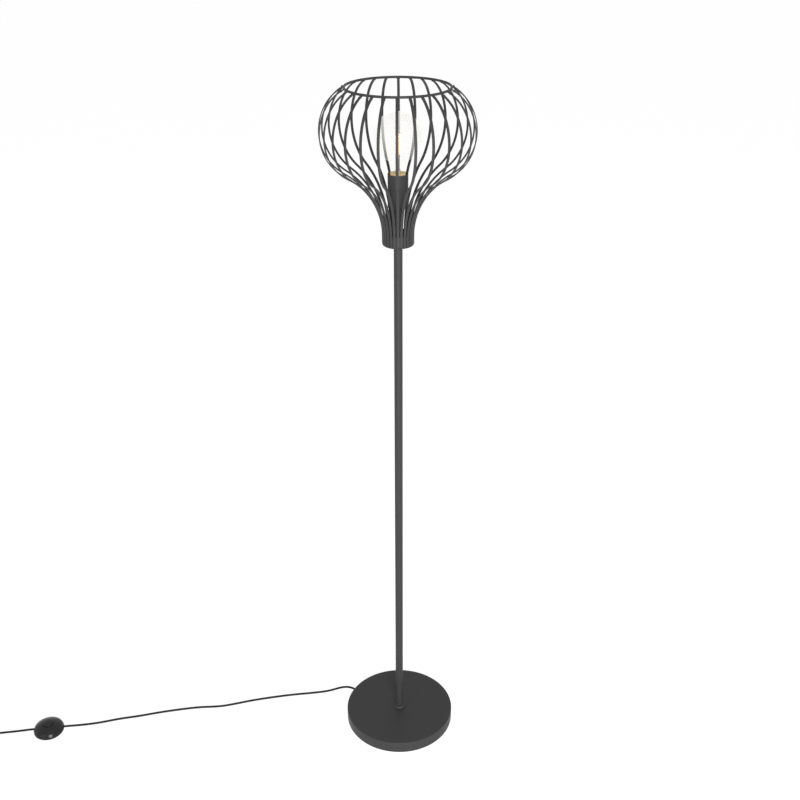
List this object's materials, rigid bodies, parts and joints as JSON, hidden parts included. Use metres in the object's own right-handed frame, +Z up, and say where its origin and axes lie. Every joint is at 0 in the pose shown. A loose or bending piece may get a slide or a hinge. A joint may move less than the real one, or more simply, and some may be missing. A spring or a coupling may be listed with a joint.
{
  "type": "wire cage floor lamp",
  "caption": "Floor lamp with a round weighted base, a slim pole and an open cage of flat steel strips round a clear globe bulb, with a mains lead, foot switch and plug.",
  "frame": {"origin": "centre of the underside of the base's pad, on the floor", "axes": "+Z up along the pole, -Y towards the viewer, and the lead leaves the base towards -X"},
  "size_m": [1.3288, 0.3067, 1.5281],
  "materials": {
    "powder_black": "matt black powder coat with a fine sandy texture",
    "felt": "dark pressed felt",
    "counterweight": "cast cement, rough",
    "zinc": "zinc-plated steel",
    "holder_plastic": "moulded heat-proof plastic, matt",
    "brass": "thin bright brass sheet",
    "clear_glass": "clear blown glass",
    "filament": "phosphor-coated filament, lit",
    "lead_sheath": "smooth black lead sheath, slightly glossy",
    "bushing_plastic": "moulded black plastic",
    "switch_plastic": "polished black plastic",
    "plug_plastic": "moulded black plastic, satin",
    "nickel": "nickel-plated brass"
  },
  "bodies": {
    "lamp": {"base_shell": "powder_black", "foot_collar": "powder_black", "pole_lower": "powder_black", "pole_upper": "powder_black", "cage_ring": "powder_black", "cage_cup": "powder_black", "neck_tube": "powder_black", "holder_sleeve": "powder_black", "rib_01": "powder_black", "rib_02": "powder_black", "rib_03": "powder_black", "rib_04": "powder_black", "rib_05": "powder_black", "rib_06": "powder_black", "rib_07": "powder_black", "rib_08": "powder_black", "rib_09": "powder_black", "rib_10": "powder_black", "rib_11": "powder_black", "rib_12": "powder_black", "rib_13": "powder_black", "rib_14": "powder_black", "rib_15": "powder_black", "rib_16": "powder_black", "rib_17": "powder_black", "rib_18": "powder_black", "rib_19": "powder_black", "rib_20": "powder_black", "rib_21": "powder_black", "rib_22": "powder_black", "rib_23": "powder_black", "rib_24": "powder_black", "rib_25": "powder_black", "rib_26": "powder_black", "rib_27": "powder_black", "rib_28": "powder_black", "base_pad": "felt", "base_weight": "counterweight", "base_nut": "zinc", "foot_rod": "zinc", "pole_coupler": "zinc", "holder_rod": "zinc", "holder_insert": "holder_plastic", "holder_shell": "brass", "inner_cable": "lead_sheath", "cord_to_switch": "lead_sheath", "cord_to_coil": "lead_sheath", "cord_coil": "lead_sheath", "cord_to_plug": "lead_sheath", "cord_bushing": "bushing_plastic", "switch_cover": "switch_plastic", "switch_base": "switch_plastic", "plug_body": "plug_plastic", "plug_pin_left": "nickel", "plug_pin_right": "nickel"},
    "glass": {"bulb_glass": "clear_glass"},
    "cap": {"bulb_cap": "brass", "bulb_stem": "clear_glass", "bulb_filament": "filament"},
    "button": {"switch_button": "switch_plastic"}
  },
  "joints": [
    {"name": "switch_press", "type": "slide", "parent": "lamp", "child": "button", "axis": [0, 0, -1], "range_m": [0, 0.003], "stiffness_N_per_m": 600, "springref_m": -0.001},
    {"name": "bulb_lift", "type": "slide", "parent": "lamp", "child": "glass", "axis": [0, 0, 1], "range_m": [0, 0.0127]},
    {"name": "bulb_turn", "type": "hinge", "parent": "glass", "child": "cap", "pos_m": [0, 0, 1.36], "axis": [0, 0, 1], "range_deg": [0, 1260]}
  ],
  "couplings": [
    {"joint": "bulb_turn", "follows": "bulb_lift", "rad_per_m": 1731.4}
  ]
}
